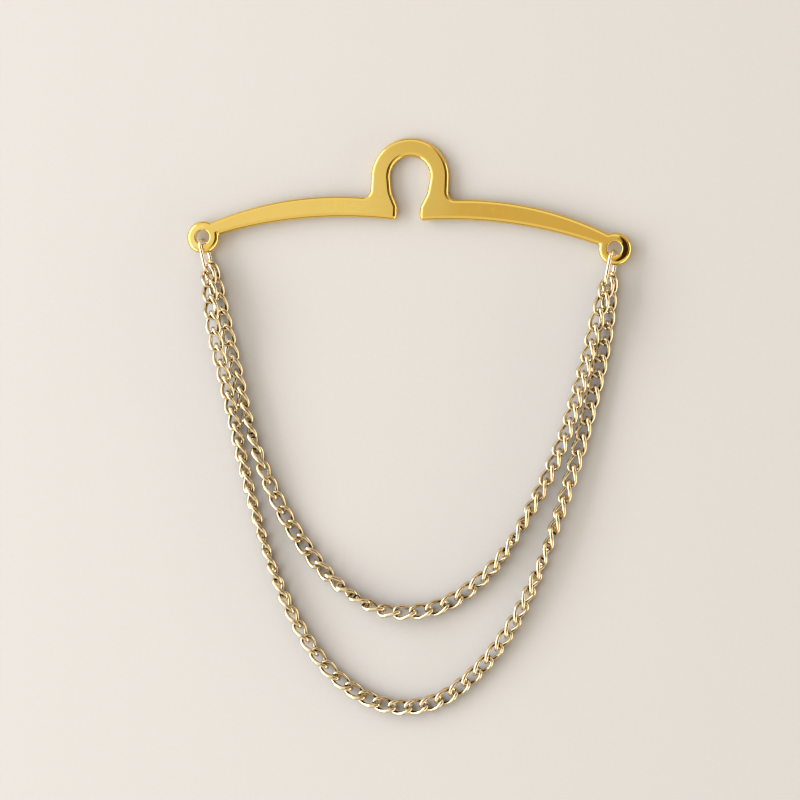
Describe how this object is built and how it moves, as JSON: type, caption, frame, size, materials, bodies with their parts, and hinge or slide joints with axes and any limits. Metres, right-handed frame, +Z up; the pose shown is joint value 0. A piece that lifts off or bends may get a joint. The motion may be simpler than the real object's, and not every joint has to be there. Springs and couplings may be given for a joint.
{
  "type": "tie chain",
  "caption": "Arched tie bar with an open keyhole loop for a shirt button and an eye at each end, from which nested curb chains of unequal length hang on jump rings.",
  "frame": {"origin": "centre of the part's footprint on the flat surface that it lies on, below the middle of its overall box", "axes": "+X across the bar from the left eye to the right eye, +Y from the chains to the button loop, +Z up out of the face of the bar"},
  "size_m": [0.0676, 0.0867, 0.0044],
  "materials": {
    "bar_gold": "polished gold-coloured plating on brass, warm yellow",
    "ring_gold": "polished pale gold wire",
    "chain_gold": "polished pale gold-coloured wire, slightly warmer in the gaps"
  },
  "bodies": {
    "root": {"bar": "bar_gold", "jump_ring_left": "ring_gold", "jump_ring_right": "ring_gold", "chain_short": "chain_gold", "chain_long": "chain_gold"}
  },
  "joints": []
}
